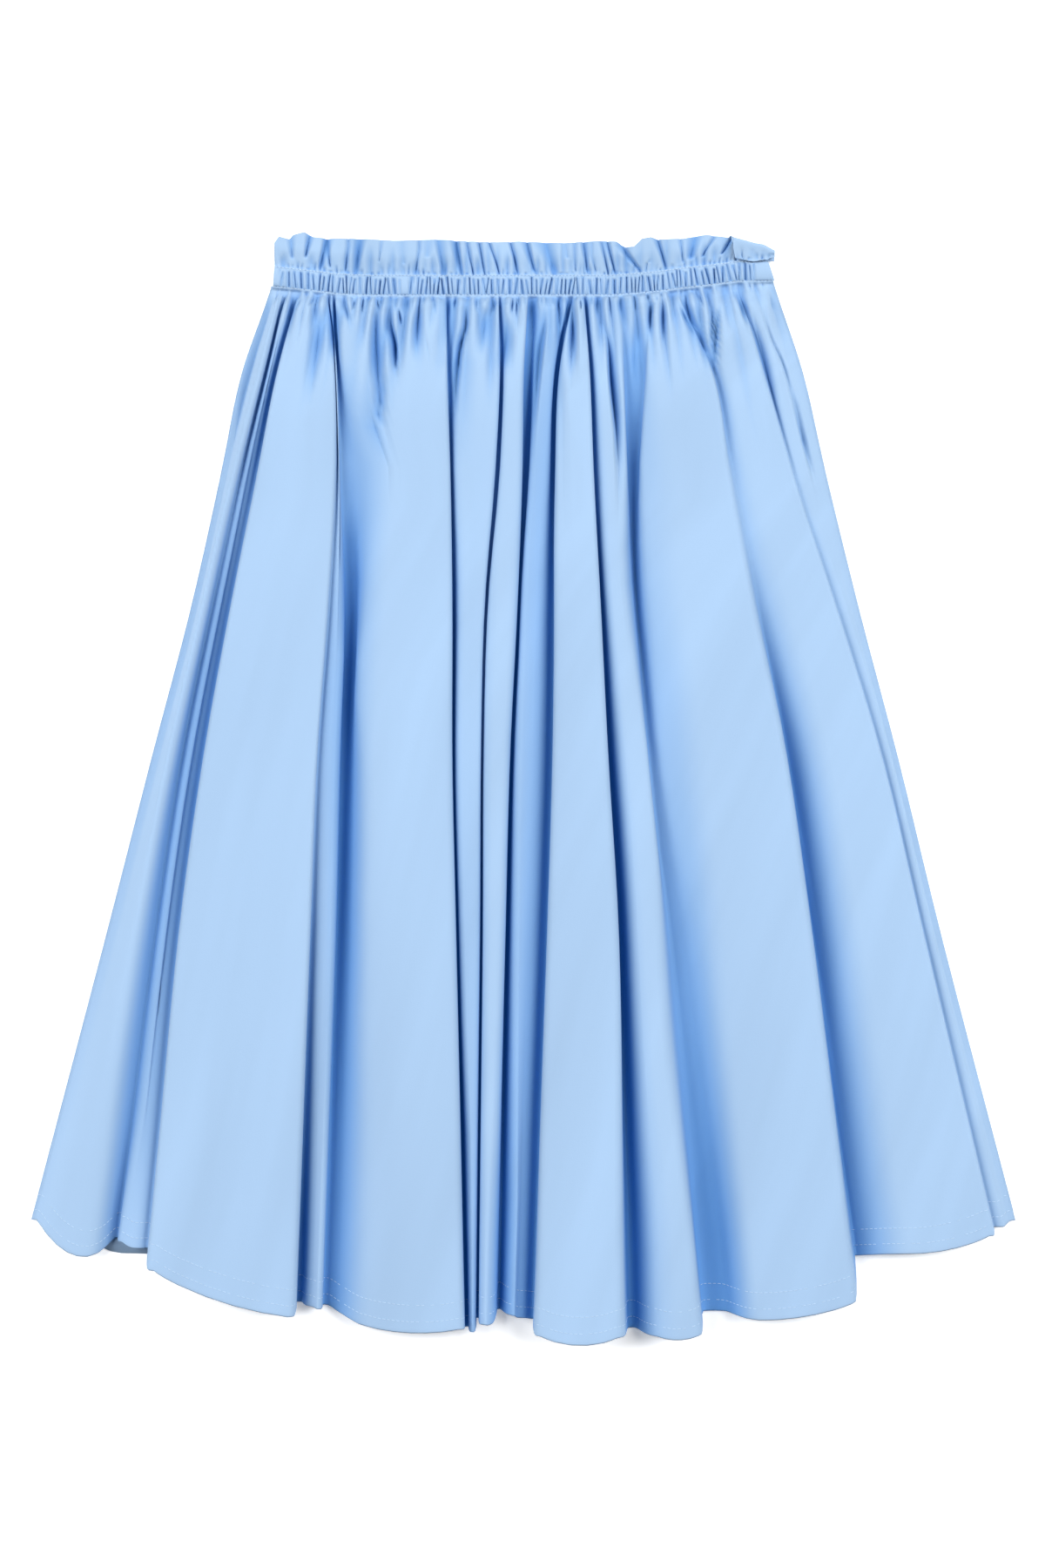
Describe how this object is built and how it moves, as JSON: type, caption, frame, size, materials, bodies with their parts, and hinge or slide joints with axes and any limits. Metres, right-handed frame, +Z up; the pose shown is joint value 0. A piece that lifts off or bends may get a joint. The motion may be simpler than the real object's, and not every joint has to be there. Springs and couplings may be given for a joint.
{
  "type": "gathered midi skirt",
  "caption": "Full gathered cotton midi skirt with an elastic casing and a frilled heading, laid flat with deep soft folds.",
  "frame": {"origin": "on the surface that the skirt lies on, below the middle of its outline", "axes": "+X to the right across the front, +Y along the length towards the waist, +Z up out of the front"},
  "size_m": [0.6776, 0.7583, 0.0383],
  "materials": {
    "poplin": "light blue cotton poplin, soft sheen",
    "waist_poplin": "light blue cotton poplin, gathered and top-stitched"
  },
  "bodies": {
    "root": {"front_panel": "poplin", "back_panel": "poplin", "waist_casing_front": "waist_poplin", "waist_casing_back": "waist_poplin", "frill_front": "waist_poplin", "frill_back": "waist_poplin"}
  },
  "joints": []
}
